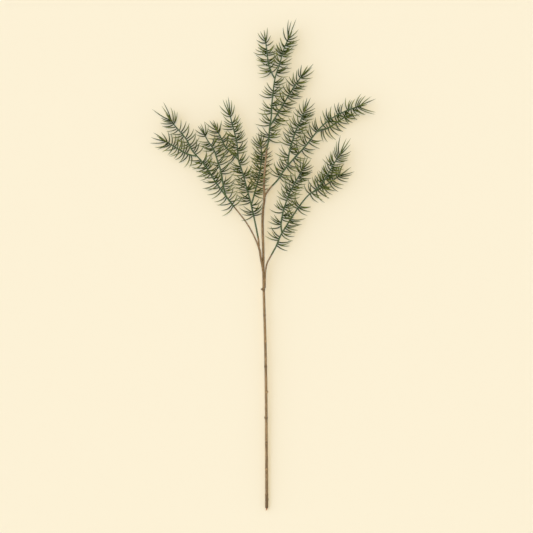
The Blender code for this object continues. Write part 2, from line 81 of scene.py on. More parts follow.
# Routes of the brown stems and, past the length given with each, of the green leaders they carry.
MAIN_ROUTE = (
    (-0.7, 2, 2.65), (-0.8, 58, 3.6), (-1.4, 171, 5.2), (-2, 250, 6.2), (-3.5, 339, 7.4),
    (-5.6, 413, 8.4), (-6.7, 452, 8.9), (-7.4, 490, 9.6), (-7.6, 530, 10.6), (-8.9, 568, 11.7),
    (-9, 594, 12.3), (-7.6, 615, 12.8), (-5.5, 634, 13.2), (-6.1, 662, 13.4), (-5, 686, 13.4),
    (-3.2, 708, 13.4), (-0.6, 734, 13.5), (3.5, 757, 13.6), (6, 783, 13.6), (9, 804, 13.8),
    (9.5, 824, 14), (12, 846, 14), (14.5, 868, 14.2), (18, 886, 14.4), (26, 909, 14.8),
    (34, 938, 15), (45, 963, 15),
)
LEFT_ROUTE = (
    (-8.3, 486, 13.8), (-9.6, 497.5, 13.5), (-13, 516, 13.2), (-16, 533, 13), (-28, 561, 12.6),
    (-41, 584, 12.4), (-56, 604, 12.4), (-69, 620, 12.4), (-84, 640, 12.4), (-104, 667, 12.6),
    (-121, 694, 12.8), (-137, 715, 13), (-152, 732, 13.2), (-165, 756, 13.2), (-186, 781, 13),
    (-197, 795, 13),
)
INNER_LEFT_ROUTE = (
    (-16, 537, 13), (-17.5, 551, 12), (-22, 575, 11.4), (-28, 603, 11), (-33, 625, 10.8),
    (-41, 655, 11), (-49, 685, 11.4), (-58, 714, 11.8), (-61, 745, 12.2), (-66, 768, 12.6),
    (-71, 788, 13), (-76, 806, 13.4),
)
INNER_RIGHT_ROUTE = (
    (-6, 634, 13.2), (-1, 646, 12.6), (8, 658, 12), (22, 673, 11.6), (33, 690, 11.6),
    (43, 703, 11.8), (59, 721, 12), (77, 740, 12.2), (95, 763, 12.4), (115, 785, 12.6),
    (138, 802, 12.8), (165, 815, 13), (189, 823, 13),
)
OUTER_RIGHT_ROUTE = (
    (-4.3, 452, 11.8), (-3.9, 470, 11.9), (-3.2, 485, 12), (0, 502, 11.8), (8, 518, 11.4),
    (19, 538, 11.2), (27, 558, 11), (39, 578, 11), (53, 600, 11), (68, 622, 11.2), (84, 641, 12),
    (102, 655, 13.4), (120, 676, 14.6), (136, 705, 15), (149, 724, 15),
)

# Routes of the side shoots, each from the leader it forks off.
OUTER_LEFT_UPRIGHT_ROUTE = (
    (-84, 640, 12.4), (-88, 655, 14), (-91, 673, 15), (-95, 694, 15.6), (-101, 712, 16),
    (-108, 733, 16), (-121, 753, 16), (-128, 766, 16),
)
OUTER_LEFT_LOWER_ROUTE = (
    (-144, 721, 13), (-161, 725, 11), (-178, 734, 9.6), (-194, 744, 9), (-208, 752, 9),
)
INNER_LEFT_SIDE_ROUTE = (
    (-58, 714, 11.8), (-68, 724, 10), (-85, 741, 8.6), (-93, 757, 8.2), (-103, 776, 8.2),
)
INNER_LEFT_TWIG_ROUTE = (
    (-32, 622, 10.8), (-28, 636, 9.4), (-22, 658, 8.2), (-15, 688, 7.6), (-12, 710, 7.4),
    (-11.5, 731, 7.6), (-12.5, 746, 8),
)
CENTRE_LEFT_ROUTE = (
    (15.5, 880, 14.4), (10, 890, 13.4), (4, 905, 12.6), (1.5, 920, 12.2), (-0.5, 938, 12),
    (-3, 957, 12),
)
CENTRE_RIGHT_ROUTE = (
    (5.5, 781, 13.6), (14, 795, 12.4), (26, 815, 11.4), (41, 840, 11), (56, 864, 11),
    (71, 885, 11.2),
)
INNER_RIGHT_UPRIGHT_ROUTE = (
    (43, 703, 11.8), (43.5, 717, 13), (47, 736, 14), (52, 752, 14.6), (59, 773, 15),
    (68, 792, 15.2), (77, 814, 15.4),
)
INNER_RIGHT_LOWER_ROUTE = (
    (104, 772, 10.6), (112, 776, 7.4), (124, 779, 6.2), (140, 789, 6), (155, 799, 6.4),
    (164, 803, 7),
)
OUTER_RIGHT_UPRIGHT_ROUTE = (
    (30.5, 565, 11), (28.5, 581, 13), (31, 599, 14.4), (36, 618, 15), (45, 643, 15.4),
    (55, 663, 15.6), (68, 686, 15.8), (73, 696, 16),
)
OUTER_RIGHT_LOWER_ROUTE = (
    (94, 648, 12.2), (106, 654, 8.6), (121, 663, 7.4), (136, 673, 7), (150, 683, 7.4),
)

# Brown stems: how far each runs along its route, and its radius at distances along it.
MAIN_STEM_LENGTH = 734.0
LEFT_STALK_LENGTH = 146.0
INNER_LEFT_STALK_LENGTH = 17.0
INNER_RIGHT_STALK_LENGTH = 32.0
OUTER_RIGHT_STALK_LENGTH = 70.0
MAIN_PROFILE = (
    (12.0, 3.05),
    (24.0, 2.95),
    (455.0, 2.6),
    (495.0, 2.4),
    (560.0, 2.65),
    (640.0, 2.3),
    (MAIN_STEM_LENGTH, 1.8),
)
LEFT_PROFILE = ((0.0, 2.0), (12.0, 2.3), (48.0, 2.2), (66.0, 1.5), (LEFT_STALK_LENGTH, 1.3))
FINE_PROFILE = ((0.0, 1.75), (32.0, 1.5), (70.0, 1.4))
STALKS = (
    ("left_stalk", LEFT_ROUTE, LEFT_STALK_LENGTH, LEFT_PROFILE),
    ("inner_left_stalk", INNER_LEFT_ROUTE, INNER_LEFT_STALK_LENGTH, FINE_PROFILE),
    ("inner_right_stalk", INNER_RIGHT_ROUTE, INNER_RIGHT_STALK_LENGTH, FINE_PROFILE),
    ("outer_right_stalk", OUTER_RIGHT_ROUTE, OUTER_RIGHT_STALK_LENGTH, FINE_PROFILE),
)
# How far a stalk runs on into the shoot that it carries.
STALK_OVERLAP = 1.0

# The bark of the brown stems, and how far its ridges reach on the main stem and on the stalks.
BARK_SIDES = 20
BARK_STEP = 1.0
MAIN_RELIEF = 0.16
STALK_RELIEF = 0.08
# The ridges are read from noise: on a circle of this radius round a stem, and with this length of
# stem to one unit along it. Each stalk reads it this many units further on than the one before.
RIDGE_CIRCLE = 3.0
RIDGE_LENGTH = 9.0
STALK_SEED_STEP = 40.0
# The noise's H, lacunarity and octaves.
RIDGE_FRACTAL = (0.8, 2.0, 3)

# A shade of the bark runs from 0, dark, to 1, light. This one leaves its colour as it is.
PLAIN_SHADE = 0.5

# Rings round the main stem: where they are, how much they swell it and how far their shade reaches.
FIRST_RING = 27.0
RING_SPACING = 52.5
RING_SWELL = 0.42
RING_HALF_LENGTH = 2.6
RING_SHADE_REACH = 6.0
# For each ring, the shade of its middle and that of the bark beside it.
RING_SHADES = (
    (0.35, 0.45),
    (0.95, 0.4),
    (0.95, 0.0),
    (0.2, 0.3),
    (0.95, 0.4),
    (0.0, 0.3),
    (0.95, 0.35),
    (0.35, 0.4),
    (0.15, 0.3),
)
# Stubs of cut twigs: distance along the stem, side (1 is right and -1 is left) and length. The
# higher the power, the slimmer a stub is round the stem.
STUBS = ((17.0, 1, 0.8), (185.5, -1, 1.2), (238.0, 1, 1.6), (448.0, -1, 3.3))
STUB_HALF_LENGTH = 3.5
STUB_POWER = 6
# Painted shade in the gap where the outer right stalk leaves the main stem: its middle and its half
# length, how much it darkens the stem's right side, and the power that keeps it to that side.
PAINTED_GAP_SPAN = (474.0, 20.0)
PAINTED_GAP_SHADE = 0.3
PAINTED_GAP_POWER = 3
# The stalks have the colour that the main stem has at this share of its length.
STALK_COLOUR_PLACE = 0.77

# The core wire's stub. Its end is cut at a slant, which leaves its left side this much longer than
# its right.
WIRE_RADIUS = 1.55
WIRE_RELIEF = 0.05
WIRE_STANDS_OUT = 4.1
WIRE_SEAT = 11.0
WIRE_SLANT = 4.4

# Each shoot's route and where it starts along it.
SHOOTS = {
    "centre_leader": (MAIN_ROUTE, MAIN_STEM_LENGTH),
    "centre_left": (CENTRE_LEFT_ROUTE, 0.0),
    "centre_right": (CENTRE_RIGHT_ROUTE, 0.0),
    "outer_left_leader": (LEFT_ROUTE, LEFT_STALK_LENGTH),
    "outer_left_upright": (OUTER_LEFT_UPRIGHT_ROUTE, 0.0),
    "outer_left_lower": (OUTER_LEFT_LOWER_ROUTE, 0.0),
    "inner_left_leader": (INNER_LEFT_ROUTE, INNER_LEFT_STALK_LENGTH),
    "inner_left_side": (INNER_LEFT_SIDE_ROUTE, 0.0),
    "inner_left_twig": (INNER_LEFT_TWIG_ROUTE, 0.0),
    "inner_right_leader": (INNER_RIGHT_ROUTE, INNER_RIGHT_STALK_LENGTH),
    "inner_right_upright": (INNER_RIGHT_UPRIGHT_ROUTE, 0.0),
    "inner_right_lower": (INNER_RIGHT_LOWER_ROUTE, 0.0),
    "outer_right_leader": (OUTER_RIGHT_ROUTE, OUTER_RIGHT_STALK_LENGTH),
    "outer_right_upright": (OUTER_RIGHT_UPRIGHT_ROUTE, 0.0),
    "outer_right_lower": (OUTER_RIGHT_LOWER_ROUTE, 0.0),
}
# A green stem's radius at its foot and at its tip, and how much it swells at a bud.
SHOOT_RADII = (1.6, 1.1)
SHOOT_SIDES = 10
SHOOT_STEP = 1.5
BUD_HALF_LENGTH = 3.0
BUD_SWELL = 0.16
# Buds close together swell the stem by no more than this many buds.
MOST_BUDS = 1.5

# How a packed shoot is read: its corners are merged where they agree to this many decimal places,
# and a spike's tip is further than this from its neighbours.
MERGE_DECIMALS = 2
SHORTEST_SPIKE = 6.0

# A needle's section: its width, its thickness as a share of that, and the radius of its very tip.
NEEDLE_WIDTH = 2.45
NEEDLE_FLATNESS = 0.6
NEEDLE_TIP_RADIUS = 0.08
# At its foot it has this share of its full width, which it reaches at this share of its length.
FOOT_WIDTH = 0.75
FOOT_LENGTH = 0.15
# The first power sets how late it narrows, and the second how sharp it ends.
TAPER_START = 2.6
TAPER_END = 0.75
NEEDLE_SPANS = 9
NEEDLE_SIDES = 8
# The needles' place in their shoot's list of materials.
NEEDLE_MATERIAL = 1
# A needle's curve, in shares of its length: how far it bows, the least and most of that, how far it
# wanders to either side, the places of its two control points, and the second one's bow to the
# first one's.
NEEDLE_BEND = 0.155
BEND_SPREAD = (0.6, 1.4)
NEEDLE_WANDER = 0.02
CONTROL_PLACES = (0.25, 0.65)
SECOND_BEND = 0.85
# It starts inside the stem, this share of the way out to its spike's root, and is rolled by up to
# this angle in radians.
START_SHARE = 0.45
NEEDLE_ROLL = 0.6
# A needle whose angle to the vertical has a smaller sine than this is laid out from the x axis.
UPRIGHT_LIMIT = 0.1
# A shoot's random seed is the sum of its name's letters, with this much more for each of them.
SEED_STEP = 31

# Stretches where the photo has more needles than the model: where each starts and ends along its
# route, the step between its added needles and their length.
THIN_STRETCHES = {
    "outer_right_leader": (262.0, 302.0, 6.5, 20.0),
    "outer_left_leader": (214.0, 262.0, 8.0, 18.0),
    "centre_left": (14.0, 66.0, 11.0, 19.0),
    "centre_leader": (926.0, 950.0, 8.0, 19.0),
}
# An added needle's angle to its stem in degrees, on the stem's left and on its right, and how far
# it may turn from that. Then the least and most of its rise and of its length.
ADDED_LEANS = (48.0, 58.0)
ADDED_TURN = 9.0
ADDED_RISES = (-0.1, 0.35)
ADDED_LENGTHS = (0.85, 1.15)

# Finishes.
NEEDLE_FINISH = {"Roughness": 0.42, "Specular IOR Level": 0.0}
SHOOT_FINISH = {"Roughness": 0.5, "Specular IOR Level": 0.1}
BARK_FINISH = {"Roughness": 0.72, "Specular IOR Level": 0.2}
COPPER_FINISH = {"Roughness": 0.45, "Metallic": 0.2}
SURFACE_FINISH = {"Roughness": 0.9, "Specular IOR Level": 0.0}

# Grain: how much noise there is to a metre across the sprig, how many times longer it is drawn
# along the sprig, and its detail.
NEEDLE_GRAIN = (900.0, 1.0, 2.0)
SHOOT_GRAIN = (700.0, 3.0, 3.0)
BARK_GRAIN = (1100.0, 6.0, 5.0)
BARK_BLOTCHES = (160.0, 4.0, 2.0)
BARK_SPECKS = (700.0, 1.6, 1.0)
COPPER_SCRATCHES = (3000.0, 8.0, 2.0)
GRAIN_ROUGHNESS = 0.6
# How deep the grain is as relief, in metres.
NEEDLE_GRAIN_DEPTH = 0.0002
SHOOT_GRAIN_DEPTH = 0.0003
BARK_GRAIN_DEPTH = 0.0006
RELIEF_STRENGTH = 0.8

# Colours, each with its place on a ramp. A material multiplies its ramps' colours.
# Along a needle: the near-black foot is partly the plastic's darker base and partly painted shade
# where the needles crowd at the stem.
NEEDLE_COLOURS_AND_ROOT_SHADE = (
    (0.0, (0.0125, 0.0182, 0.008)),
    (0.22, (0.048, 0.063, 0.0165)),
    (0.65, (0.12, 0.145, 0.038)),
    (1.0, (0.213, 0.232, 0.09)),
)
NEEDLE_TINTS = ((0.0, (0.6, 0.65, 0.7)), (0.5, (1.0, 1.0, 1.02)), (1.0, (1.85, 1.68, 1.8)))
NEEDLE_PATCHES = ((0.3, (0.82, 0.84, 0.82)), (0.7, (1.12, 1.1, 1.02)))
SHOOT_COLOURS = ((0.3, (0.055, 0.09, 0.038)), (0.7, (0.112, 0.155, 0.07)))
SHOOT_FOOT = ((0.0, (1.1, 0.95, 0.8)), (0.05, (1.0, 1.0, 1.0)))
BARK_COLOURS = ((0.25, (0.12, 0.078, 0.04)), (0.5, (0.26, 0.18, 0.1)), (0.75, (0.42, 0.32, 0.2)))
BARK_PATCHES = ((0.3, (0.78, 0.75, 0.71)), (0.7, (1.46, 1.42, 1.33)))
# By the place along the main stem, from the cut end.
BARK_BY_PLACE = (
    (0.0, (0.35, 0.32, 0.32)),
    (0.008, (0.6, 0.58, 0.58)),
    (0.05, (0.78, 0.77, 0.78)),
    (0.09, (0.84, 0.82, 0.8)),
    (0.14, (0.95, 0.95, 0.95)),
    (0.3, (1.0, 1.0, 1.0)),
    (0.76, (0.95, 0.93, 0.88)),
    (0.8, (0.68, 0.64, 0.6)),
    (0.86, (0.8, 0.78, 0.76)),
    (0.93, (1.02, 1.0, 1.05)),
    (1.0, (1.0, 1.02, 1.12)),
)
BARK_FLECKS = (
    (0.33, (0.5, 0.46, 0.42)),
    (0.43, (1.0, 1.0, 0.98)),
    (0.64, (1.0, 1.0, 0.98)),
    (0.76, (1.8, 1.85, 1.8)),
)
# The bark's shade carries the rings' own marks and the painted shade in the gap beside the outer
# right stalk.
BARK_SHADES = ((0.0, (0.42, 0.4, 0.38)), (0.5, (1.0, 1.0, 1.0)), (1.0, (1.75, 1.75, 1.7)))
COPPER_COLOURS = ((0.3, (0.2, 0.064, 0.015)), (0.7, (0.36, 0.127, 0.036)))

# The surface: half its width, in metres, and its colour.
SURFACE_REACH = 10.0
SURFACE_COLOUR = (0.926, 0.865, 0.703)
# What a ray sees past the surface, matched to how the lit surface renders.
BACKDROP_COLOUR = (0.986, 0.886, 0.672)
# Each lamp's heading, its spread in degrees, its strength and its colour.
LAMPS = (
    ("window", (0.92, -0.1, -0.37), 80.0, 1.5, (0.635, 0.72, 0.92)),
    ("wall", (0.57, -0.1, -0.82), 140.0, 0.7, (0.635, 0.72, 0.92)),
    ("ceiling", (0.02, -0.02, -1.0), 25.0, 1.5, (0.93, 0.68, 0.245)),
)
# The room's light by the height it comes from: 0 is level and 1 is overhead.
ROOM_COLOURS = (
    (0.0, (1.53, 1.7, 1.93)),
    (0.25, (0.915, 1.03, 1.17)),
    (0.5, (0.483, 0.544, 0.626)),
    (0.75, (0.225, 0.254, 0.293)),
    (1.0, (0.139, 0.156, 0.18)),
)

# The camera looks straight down. Its place, and the width that it sees on the surface, in metres.
CAMERA_PLACE = (0.008, -0.0018, 2.4)
VIEW_WIDTH = 1.0927


class Route:
    """A smooth curve through a few points, read by the distance along it."""

    # Straight steps from one point to the next, and how far on either side of a place its heading
    # is read.
    STEPS = 12
    HEADING_REACH = 1.5

    def __init__(self, points):
        knots = [Vector(p) for p in points]
        knots = [2 * knots[0] - knots[1], *knots, 2 * knots[-1] - knots[-2]]
        self.points = [knots[1]]
        for i in range(1, len(knots) - 2):
            for step in range(1, self.STEPS + 1):
                self.points.append(self.between(knots[i - 1 : i + 3], step / self.STEPS))
        self.distances = [0.0]
        for a, b in zip(self.points, self.points[1:]):
            self.distances.append(self.distances[-1] + (b - a).length)
        self.length = self.distances[-1]

    @staticmethod
    def between(knots, t):
        """A point between the second and third of four knots, on a Catmull-Rom curve."""
        before, start, end, after = knots
        slope = end - before
        curve = 2 * before - 5 * start + 4 * end - after
        bend = 3 * (start - end) + after - before
        return 0.5 * (2 * start + slope * t + curve * t**2 + bend * t**3)

    def at(self, distance):
        """The point at a distance, on a straight line past either end."""
        i = bisect.bisect_right(self.distances, distance)
        i = min(max(i, 1), len(self.points) - 1)
        a, b = self.points[i - 1], self.points[i]
        start, end = self.distances[i - 1], self.distances[i]
        return a.lerp(b, (distance - start) / (end - start))

    def axes(self, distance):
        """The heading, the direction to the right of it and the one above it."""
        ahead = self.at(distance + self.HEADING_REACH)
        behind = self.at(distance - self.HEADING_REACH)
        heading = (ahead - behind).normalized()
        right = heading.cross(UP).normalized()
        return heading, right, right.cross(heading)

    def nearest(self, point):
        """The distance along the route nearest to a point."""
        offsets = [(p - point).length_squared for p in self.points]
        return self.distances[offsets.index(min(offsets))]


class Skin:
    """Points and faces of one piece, with what its materials read at each point."""

    def __init__(self):
        self.points = []
        self.faces = []
        self.materials = []
        self.along = []
        self.tint = []

    def add_rings(self, rings, alongs, tint=PLAIN_SHADE, material=0):
        """A closed skin over rings of points, with one face at each end."""
        sides = len(rings[0])
        first = len(self.points)
        for ring, along in zip(rings, alongs):
            self.points += ring
            self.along += [along] * sides
        for span in range(len(rings) - 1):
            for side in range(sides):
                low = first + span * sides + side
                low_next = first + span * sides + (side + 1) % sides
                self.faces.append((low, low + sides, low_next + sides, low_next))
        self.faces.append(tuple(range(first, first + sides)))
        last = first + (len(rings) - 1) * sides
        self.faces.append(tuple(range(last + sides - 1, last - 1, -1)))
        self.tint += [tint] * (len(self.points) - first)
        self.materials += [material] * ((len(rings) - 1) * sides + 2)

    def build(self, name, shift, materials):
        """The skin as an object in the model's frame, in metres."""
        mesh = bpy.data.meshes.new(name)
        points = np.array([tuple(p) for p in self.points])
        points[:, 2] = np.maximum(points[:, 2], SURFACE_CLEARANCE)
        mesh.from_pydata((points * MILLIMETRE + np.array(shift)).tolist(), [], self.faces)
        for material in materials:
            mesh.materials.append(material)
        mesh.polygons.foreach_set("material_index", self.materials)
        for label, values in (("along", self.along), ("tint", self.tint)):
            mesh.attributes.new(label, "FLOAT", "POINT").data.foreach_set("value", values)
        mesh.shade_smooth()
        mesh.set_sharp_from_angle(angle=math.radians(SHARP_EDGE))
        mesh.update()
        return new_object(name, mesh)


def new_object(name, data):
    made = bpy.data.objects.new(name, data)
    bpy.context.scene.collection.objects.link(made)
    return made


def hand_over(skin, node, shift, materials):
    """Builds the piece that stands for a node of the model, and rides on its one body."""
    made = skin.build(node + "_look", shift, materials)
    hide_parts(node)
    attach(made, "root")


def bump(value, middle, half_width):
    """1 at the middle, falling smoothly to 0 at the half width."""
    t = min(abs(value - middle) / half_width, 1.0)
    return (1 - t * t) ** 2


def spaced(start, end, step):
    """Numbers from the start to the end, evenly spaced and about a step apart."""
    count = round((end - start) / step)
    return [start + (end - start) * i / count for i in range(count + 1)]


def ring_angles(sides):
    """Angles once round a ring, turning the way that makes the skin's faces look outwards."""
    return [-2 * math.pi * side / sides for side in range(sides)]


# Materials.


def new_material(name, finish):
    """A material with its finish set, with its node tree and its shader."""
    material = bpy.data.materials.new(name)
    material.use_nodes = True
    shader = material.node_tree.nodes["Principled BSDF"]
    for socket, value in finish.items():
        shader.inputs[socket].default_value = value
    return material, material.node_tree, shader


def add_node(tree, kind, **values):
    """A node with its inputs and settings given by name."""
    made = tree.nodes.new(kind)
    for key, value in values.items():
        if key in made.inputs:
            made.inputs[key].default_value = value
        else:
            setattr(made, key, value)
    return made


def carried(tree, label):
    """What each point of a skin carries: how far along it is, or its tint."""
    return add_node(tree, "ShaderNodeAttribute", attribute_name=label).outputs["Fac"]


def grain(tree, scale, stretch, detail):
    """Noise in the piece's own space, stretched along the sprig."""
    place = tree.nodes.new("ShaderNodeTexCoord")
    mapping = add_node(tree, "ShaderNodeMapping", Scale=(scale, scale / stretch, scale))
    texture = add_node(tree, "ShaderNodeTexNoise", Scale=1.0, Detail=detail)
    texture.inputs["Roughness"].default_value = GRAIN_ROUGHNESS
    tree.links.new(place.outputs["Object"], mapping.inputs["Vector"])
    tree.links.new(mapping.outputs["Vector"], texture.inputs["Vector"])
    return texture.outputs["Fac"]


def ramp(tree, factor, stops):
    """The colour that a ramp gives for a number."""
    made = tree.nodes.new("ShaderNodeValToRGB")
    elements = made.color_ramp.elements
    for i, (place, colour) in enumerate(stops):
        stop = elements[i] if i < len(elements) else elements.new(place)
        stop.position = place
        stop.color = (*colour, 1.0)
    tree.links.new(factor, made.inputs["Fac"])
    return made.outputs["Color"]


def mixed(tree, blend, factor, first, second):
    """Two colours mixed. Each value is a colour, a number or another node's output."""
    mix = add_node(tree, "ShaderNodeMix", data_type="RGBA", blend_type=blend)
    for socket, value in ((mix.inputs[0], factor), (mix.inputs[6], first), (mix.inputs[7], second)):
        if isinstance(value, bpy.types.NodeSocket):
            tree.links.new(value, socket)
        elif isinstance(value, tuple):
            socket.default_value = (*value, 1.0)
        else:
            socket.default_value = value
    return mix.outputs[2]


def paint(tree, shader, *layers):
    """Gives the shader the product of the layers' colours. A layer is a number and its ramp."""
    colours = [ramp(tree, factor, stops) for factor, stops in layers]
    product = colours[0]
    for colour in colours[1:]:
        product = mixed(tree, "MULTIPLY", 1.0, product, colour)
    tree.links.new(product, shader.inputs["Base Color"])


def add_relief(tree, shader, height, depth):
    """Lets a number from 0 to 1 stand out of the surface as relief."""
    relief = add_node(tree, "ShaderNodeBump", Strength=RELIEF_STRENGTH, Distance=depth)
    tree.links.new(height, relief.inputs["Height"])
    tree.links.new(relief.outputs["Normal"], shader.inputs["Normal"])


def needle_material():
    """Moulded plastic: nearly black at the foot, partly painted shade at the stem, olive along the
    needle and paler at its tip.
    """
    material, tree, shader = new_material("needle_green", NEEDLE_FINISH)
    mottle = grain(tree, *NEEDLE_GRAIN)
    paint(
        tree,
        shader,
        (carried(tree, "along"), NEEDLE_COLOURS_AND_ROOT_SHADE),
        (carried(tree, "tint"), NEEDLE_TINTS),
        (mottle, NEEDLE_PATCHES),
    )
    add_relief(tree, shader, mottle, NEEDLE_GRAIN_DEPTH)
    return material


def shoot_material():
    """The moulded stems of the green shoots: dull blue-green with fine grain."""
    material, tree, shader = new_material("shoot_teal", SHOOT_FINISH)
    texture = grain(tree, *SHOOT_GRAIN)
    paint(tree, shader, (texture, SHOOT_COLOURS), (carried(tree, "along"), SHOOT_FOOT))
    add_relief(tree, shader, texture, SHOOT_GRAIN_DEPTH)
    return material


def bark_material():
    """Moulded bark: brown with long grain, blotches and flecks, darker by the cut and the forks."""
    material, tree, shader = new_material("bark", BARK_FINISH)
    texture = grain(tree, *BARK_GRAIN)
    paint(
        tree,
        shader,
        (texture, BARK_COLOURS),
        (grain(tree, *BARK_BLOTCHES), BARK_PATCHES),
        (carried(tree, "along"), BARK_BY_PLACE),
        (grain(tree, *BARK_SPECKS), BARK_FLECKS),
        # The tint carries the rings' own marks and painted shade in the gap beside the outer right
        # stalk.
        (carried(tree, "tint"), BARK_SHADES),
    )
    add_relief(tree, shader, texture, BARK_GRAIN_DEPTH)
    return material


def copper_material():
    """The cut wire: dull copper with drawn scratches."""
    material, tree, shader = new_material("copper_wire", COPPER_FINISH)
    paint(tree, shader, (grain(tree, *COPPER_SCRATCHES), COPPER_COLOURS))
    return material


# Shoots and their needles.


def spikes_of(node, shift):
    """The (root, tip) of every spike on a packed shoot, on the routes' axes.

    A spike's tip is a point whose nearest neighbour along the mesh is further than a stem is wide.
    """
    mesh = node.data
    places = np.zeros(len(mesh.vertices) * 3)
    mesh.vertices.foreach_get("co", places)
    places = (places.reshape(-1, 3) - np.array(shift)) / MILLIMETRE
    merged, index = np.unique(np.round(places, MERGE_DECIMALS), axis=0, return_inverse=True)
    index = index.reshape(-1)
    neighbours = [set() for _ in merged]
    for edge in mesh.edges:
        a, b = index[edge.vertices[0]], index[edge.vertices[1]]
        if a != b:
            neighbours[a].add(b)
            neighbours[b].add(a)
    spikes = []
    for i, around in enumerate(neighbours):
        if min(np.linalg.norm(merged[i] - merged[j]) for j in around) > SHORTEST_SPIKE:
            root = np.mean([merged[j] for j in around], axis=0)
            spikes.append((Vector(root), Vector(merged[i])))
    return spikes


def added_spikes(name, route, chance):
    """The (root, tip) of the needles that thicken a thin stretch, on both sides of the stem."""
    if name not in THIN_STRETCHES:
        return []
    start, end, step, length = THIN_STRETCHES[name]
    spikes = []
    for distance in spaced(start, end, step):
        for side, lean in zip((-1, 1), ADDED_LEANS):
            place = distance + step / 2 * chance.uniform(-1, 1)
            heading, right, above = route.axes(place)
            angle = math.radians(lean + ADDED_TURN * chance.uniform(-1, 1))
            outward = (side * right + chance.uniform(*ADDED_RISES) * above).normalized()
            direction = math.cos(angle) * heading + math.sin(angle) * outward
            root = route.at(place) + SHOOT_RADII[1] * outward
            spikes.append((root, root + length * chance.uniform(*ADDED_LENGTHS) * direction))
    return spikes


def needle_radius(t):
    """Half a needle's width at a share of its length."""
    foot = FOOT_WIDTH + (1 - FOOT_WIDTH) * min(t / FOOT_LENGTH, 1.0)
    return max(NEEDLE_WIDTH / 2 * foot * (1 - t**TAPER_START) ** TAPER_END, NEEDLE_TIP_RADIUS)


def needle_rings(root, low, high, tip, roll, alongs):
    """Rings of a needle along a curve with two control points, its flat side facing mostly up."""
    rings = []
    for t in alongs:
        rest = 1 - t
        centre = rest**3 * root + 3 * t * rest**2 * low + 3 * t**2 * rest * high + t**3 * tip
        run = rest**2 * (low - root) + 2 * t * rest * (high - low) + t**2 * (tip - high)
        heading = run.normalized()
        aside = heading.cross(UP)
        aside = aside.normalized() if aside.length > UPRIGHT_LIMIT else Vector((1, 0, 0))
        above = aside.cross(heading)
        across = math.cos(roll) * aside + math.sin(roll) * above
        over = heading.cross(across)
        width = needle_radius(t)
        height = width * NEEDLE_FLATNESS
        rings.append(
            [
                centre + width * math.cos(angle) * across + height * math.sin(angle) * over
                for angle in ring_angles(NEEDLE_SIDES)
            ]
        )
    return rings


def add_needle(skin, route, root, tip, chance):
    """A needle from inside its stem to its spike's tip, bowed so that its end turns up the shoot."""
    distance = route.nearest(root)
    heading, _, _ = route.axes(distance)
    chord = tip - root
    length = chord.length
    chord.normalize()
    backward = chord * heading.dot(chord) - heading
    bend = NEEDLE_BEND * chance.uniform(*BEND_SPREAD)
    aside = Vector([chance.uniform(-1, 1) for _ in range(3)]) * (NEEDLE_WANDER * length)
    low = root.lerp(tip, CONTROL_PLACES[0]) + backward * bend * length + aside
    high = root.lerp(tip, CONTROL_PLACES[1]) + backward * bend * SECOND_BEND * length - aside
    start = route.at(distance).lerp(root, START_SHARE)
    roll = chance.uniform(-NEEDLE_ROLL, NEEDLE_ROLL)
    alongs = spaced(0.0, 1.0, 1 / NEEDLE_SPANS)
    rings = needle_rings(start, low, high, tip, roll, alongs)
    skin.add_rings(rings, alongs, chance.random(), NEEDLE_MATERIAL)


def add_stem(skin, route, start, buds):
    """A round green stem, a little swollen where needles leave it."""
    rings = []
    alongs = []
    for distance in spaced(start, route.length, SHOOT_STEP):
        along = (distance - start) / (route.length - start)
        centre = route.at(distance)
        _, right, above = route.axes(distance)
        swell = min(sum(bump(distance, bud, BUD_HALF_LENGTH) for bud in buds), MOST_BUDS)
        radius = float(np.interp(along, (0.0, 1.0), SHOOT_RADII)) * (1 + BUD_SWELL * swell)
        rings.append(
            [
                centre + radius * (math.cos(angle) * right + math.sin(angle) * above)
                for angle in ring_angles(SHOOT_SIDES)
            ]
        )
        alongs.append(along)
    skin.add_rings(rings, alongs)


def build_shoot(name, nodes, shift, materials):
    """A stem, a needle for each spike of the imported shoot, and those added where it is thin."""
    points, start = SHOOTS[name]
    route = Route(points)
    chance = random.Random(len(name) * SEED_STEP + sum(map(ord, name)))
    spikes = spikes_of(nodes[name], shift)
    buds = sorted({round(route.nearest(root)) for root, _ in spikes})
    skin = Skin()
    add_stem(skin, route, start, buds)
    for root, tip in spikes:
        add_needle(skin, route, root, tip, chance)
    for root, tip in added_spikes(name, route, chance):
        add_needle(skin, route, root, tip, chance)
    hand_over(skin, name, shift, materials)


# Brown stems and the core wire.


def radius_at(profile, distance):
    """The radius at a distance, which stays the same before the profile's start and past its end."""
    distances, radii = zip(*profile)
    return float(np.interp(distance, distances, radii))


def bark_ring(route, distance, radius, relief, seed=0.0, stubs=()):
    """One ring of bark, with the (side, length) of each stub that stands out of it."""
    centre = route.at(distance)
    _, right, above = route.axes(distance)
    ring = []
    for angle in ring_angles(BARK_SIDES):
        outward = math.cos(angle) * right + math.sin(angle) * above
        across, over = RIDGE_CIRCLE * math.cos(angle), RIDGE_CIRCLE * math.sin(angle)
        noise_place = Vector((across, over, distance / RIDGE_LENGTH + seed))
        ridge = relief * noise.fractal(noise_place, *RIDGE_FRACTAL)
        stub = sum(length * max(side * math.cos(angle), 0.0) ** STUB_POWER for side, length in stubs)
        ring.append(centre + (radius + ridge + stub) * outward)
    return ring


def main_shades(distance, places):
    """How light the main stem's bark is at each side of one ring: the rings' own marks, and painted
    shade on the side that faces the outer right stalk at their joint.
    """
    shade = PLAIN_SHADE
    for place, (middle, beside) in zip(places, RING_SHADES):
        near = bump(distance, place, RING_HALF_LENGTH)
        around = (1 - near) * bump(distance, place, RING_SHADE_REACH)
        shade += (middle - PLAIN_SHADE) * near + (beside - PLAIN_SHADE) * around
    painted_gap = PAINTED_GAP_SHADE * bump(distance, *PAINTED_GAP_SPAN)
    facing = [max(math.cos(angle), 0.0) ** PAINTED_GAP_POWER for angle in ring_angles(BARK_SIDES)]
    return [max(shade - painted_gap * amount, 0.0) for amount in facing]


